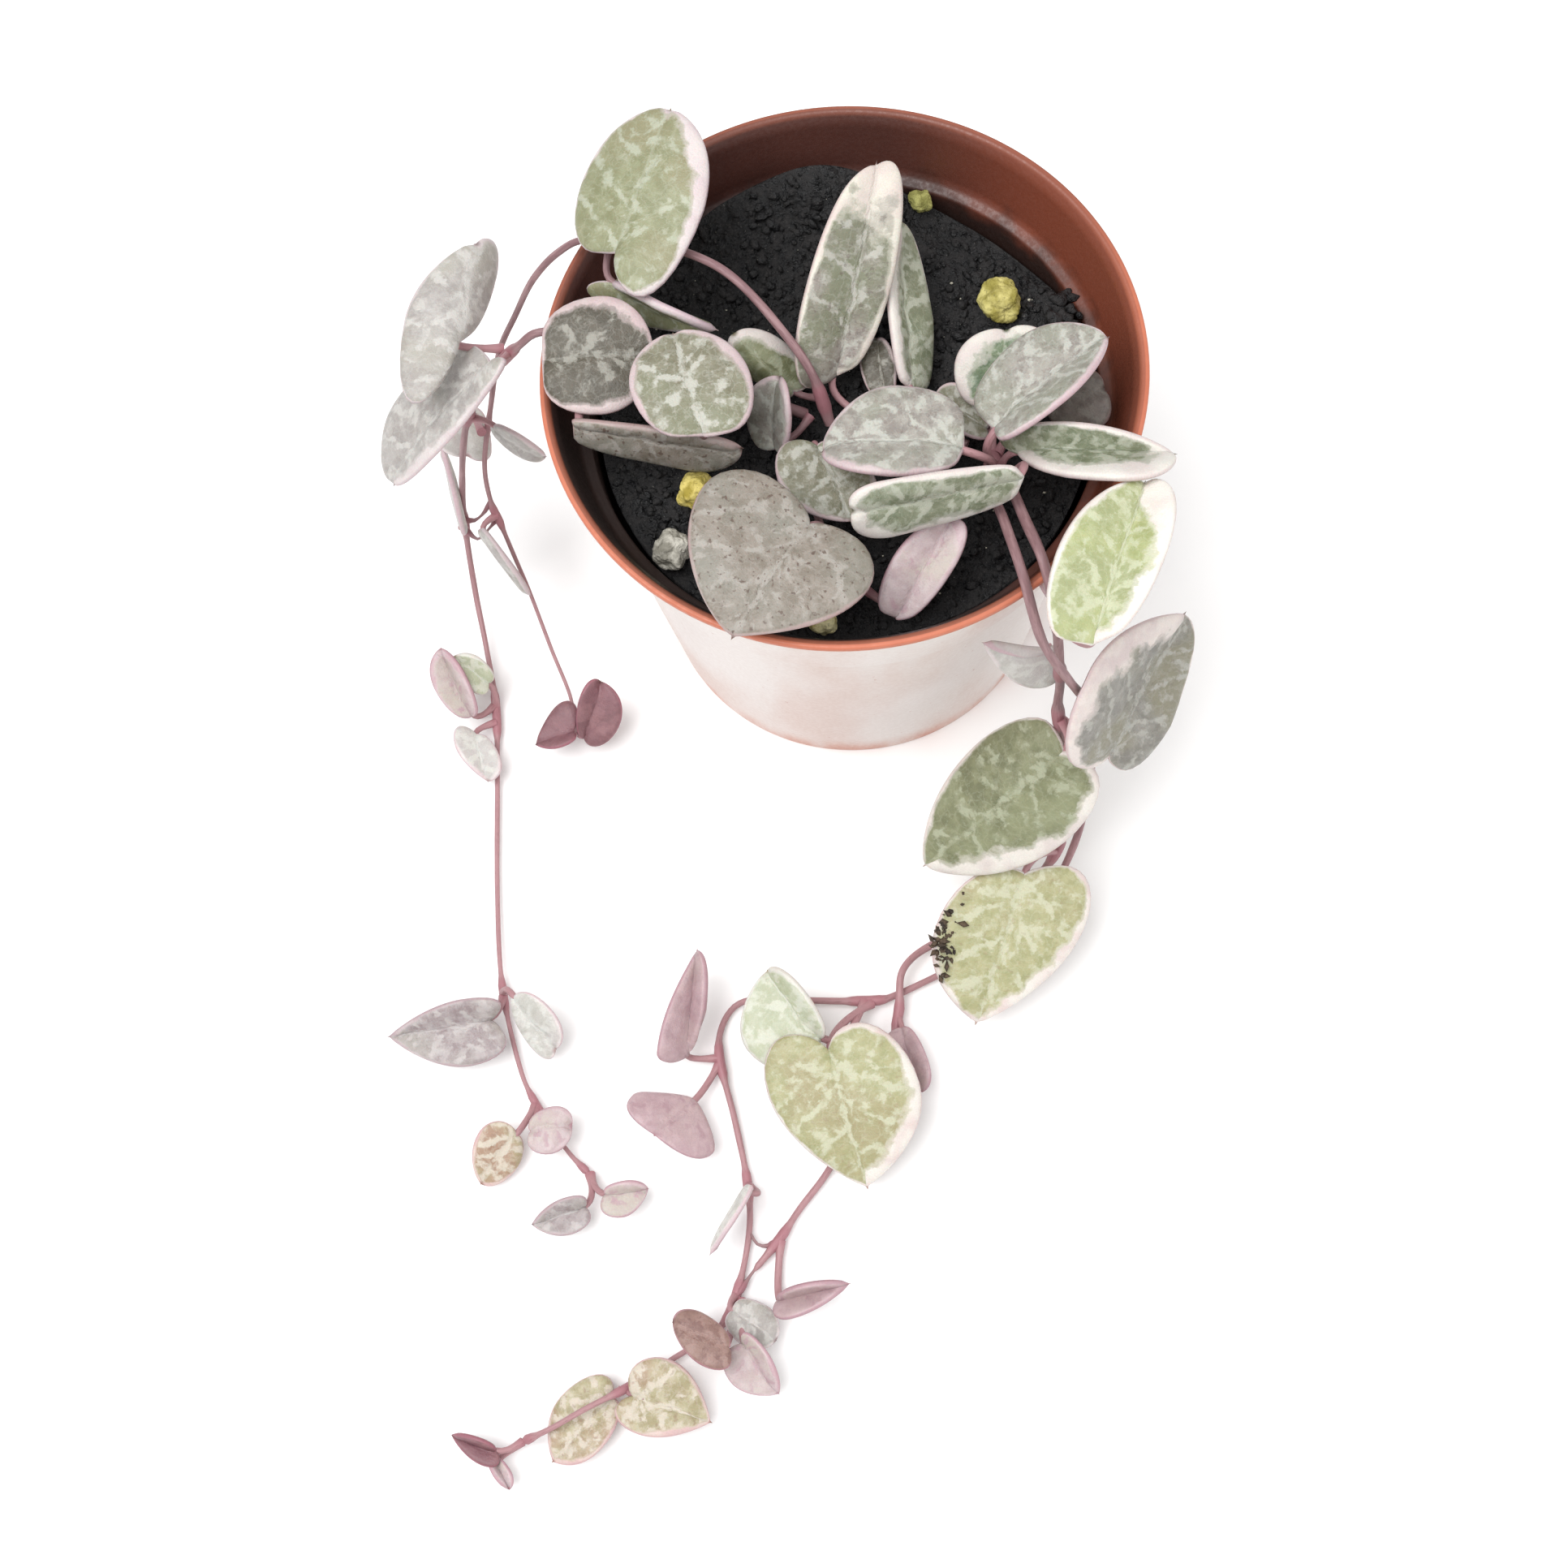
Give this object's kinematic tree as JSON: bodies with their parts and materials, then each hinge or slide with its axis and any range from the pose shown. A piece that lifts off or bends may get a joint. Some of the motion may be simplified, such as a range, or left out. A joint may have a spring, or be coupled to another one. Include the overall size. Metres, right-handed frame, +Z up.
{
  "type": "potted string of hearts",
  "caption": "Small round nursery pot of soil with a trailing variegated heart-leaved vine hanging over its rim and lying on the surface.",
  "frame": {"origin": "centre of the pot's flat underside, which rests on the surface", "axes": "+Z up along the pot's axis; the trailing stems leave the rim at -X and +X and lie along the surface towards -Y"},
  "size_m": [0.1003, 0.1374, 0.0664],
  "materials": {
    "terracotta_plastic": "terracotta-coloured moulded plastic with a pale bloom",
    "potting_soil": "dark damp potting soil",
    "granule_yellow_right": "dull yellow grain",
    "granule_yellow_left": "dull yellow grain",
    "granule_perlite_grey": "porous grey-white perlite",
    "granule_pale_front": "dull yellow grain",
    "granule_yellow_rear": "dull yellow grain",
    "stem": "smooth mauve-brown plant stem",
    "leaf_green": "satin succulent leaf, green and cream",
    "leaf_grey": "satin succulent leaf, grey-green with pale veins",
    "leaf_pink": "satin succulent leaf, pink to mauve"
  },
  "bodies": {
    "root": {"pot": "terracotta_plastic", "soil": "potting_soil", "granule_yellow_right": "granule_yellow_right", "granule_yellow_left": "granule_yellow_left", "granule_perlite_grey": "granule_perlite_grey", "granule_pale_front": "granule_pale_front", "granule_yellow_rear": "granule_yellow_rear", "stem_left_rear": "stem", "stem_left_front": "stem", "stem_right_long": "stem", "stem_right_second": "stem", "stem_front_short": "stem", "stem_soil_runner": "stem", "leaf_pot_01": "leaf_green", "leaf_pot_02": "leaf_green", "leaf_pot_03": "leaf_grey", "leaf_pot_04": "leaf_green", "leaf_pot_05": "leaf_green", "leaf_pot_06": "leaf_green", "leaf_pot_07": "leaf_green", "leaf_pot_08": "leaf_grey", "leaf_pot_09": "leaf_green", "leaf_pot_10": "leaf_green", "leaf_pot_11": "leaf_green", "leaf_pot_12": "leaf_green", "leaf_pot_13": "leaf_green", "leaf_pot_14": "leaf_green", "leaf_pot_15": "leaf_pink", "leaf_pot_16": "leaf_green", "leaf_pot_17": "leaf_green", "leaf_pot_19": "leaf_grey", "leaf_pot_20": "leaf_green", "leaf_pot_21": "leaf_green", "leaf_right_01": "leaf_green", "leaf_right_02": "leaf_green", "leaf_right_03": "leaf_green", "leaf_right_04": "leaf_green", "leaf_right_05": "leaf_green", "leaf_right_06": "leaf_green", "leaf_right_07": "leaf_pink", "leaf_right_08": "leaf_pink", "leaf_right_09": "leaf_pink", "leaf_right_10": "leaf_pink", "leaf_right_11": "leaf_green", "leaf_right_12": "leaf_green", "leaf_right_13": "leaf_green", "leaf_right_14": "leaf_pink", "leaf_left_01": "leaf_grey", "leaf_left_02": "leaf_grey", "leaf_left_03": "leaf_green", "leaf_left_04": "leaf_green", "leaf_left_05": "leaf_pink", "leaf_left_06": "leaf_green", "leaf_left_07": "leaf_pink", "leaf_left_08": "leaf_grey", "leaf_left_09": "leaf_green", "leaf_left_10": "leaf_green", "leaf_left_11": "leaf_green", "leaf_left_12": "leaf_green", "leaf_left_13": "leaf_green"}
  },
  "joints": []
}
